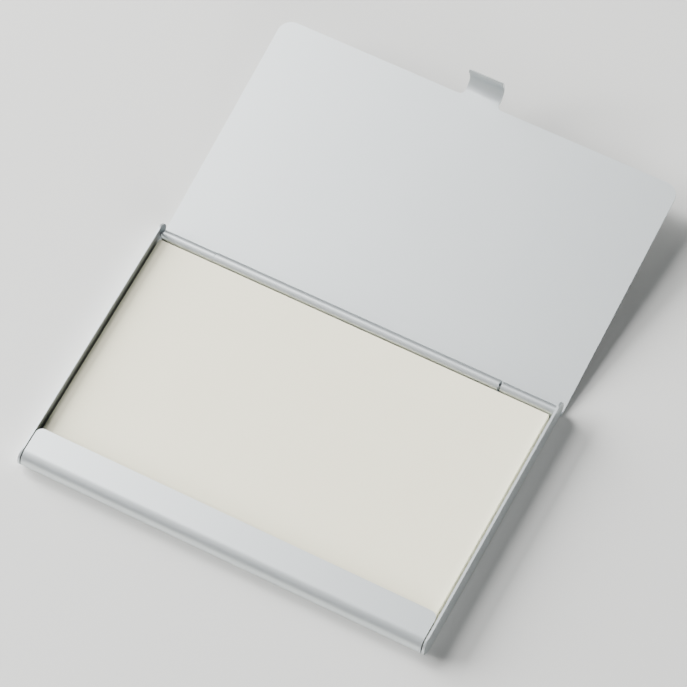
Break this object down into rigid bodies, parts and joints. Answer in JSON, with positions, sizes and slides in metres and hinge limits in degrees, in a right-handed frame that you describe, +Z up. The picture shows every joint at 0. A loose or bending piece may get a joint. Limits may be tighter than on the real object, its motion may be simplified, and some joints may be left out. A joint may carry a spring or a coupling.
{
  "type": "business card case",
  "caption": "Slim folding metal case for business cards: a tray with a folded front lip, a lid on a rolled pin hinge with a hooked catch tab, and a stack of blank cards.",
  "frame": {"origin": "centre of the tray's flat underside, on the surface it lies on", "axes": "+X across the case along the hinge pin, +Y from the front lip back to the hinge and the open lid, +Z up"},
  "size_m": [0.0938, 0.1182, 0.0126],
  "materials": {
    "tray_sheet": "fine satin, anodised silver",
    "lid_sheet": "fine satin, anodised silver",
    "pin": "drawn wire",
    "card": "uncoated matt cream card, blank"
  },
  "bodies": {
    "tray": {"tray": "tray_sheet", "hinge_pin": "pin", "card_01": "card", "card_02": "card", "card_03": "card", "card_04": "card", "card_05": "card", "card_06": "card", "card_07": "card", "card_08": "card", "card_09": "card", "card_10": "card", "card_11": "card", "card_12": "card"},
    "lid": {"lid": "lid_sheet"}
  },
  "joints": [
    {"name": "lid_hinge", "type": "hinge", "parent": "tray", "child": "lid", "pos_m": [0, 0.0284, 0.0028], "axis": [-1, 0, 0], "range_deg": [-172.9, 0]}
  ]
}
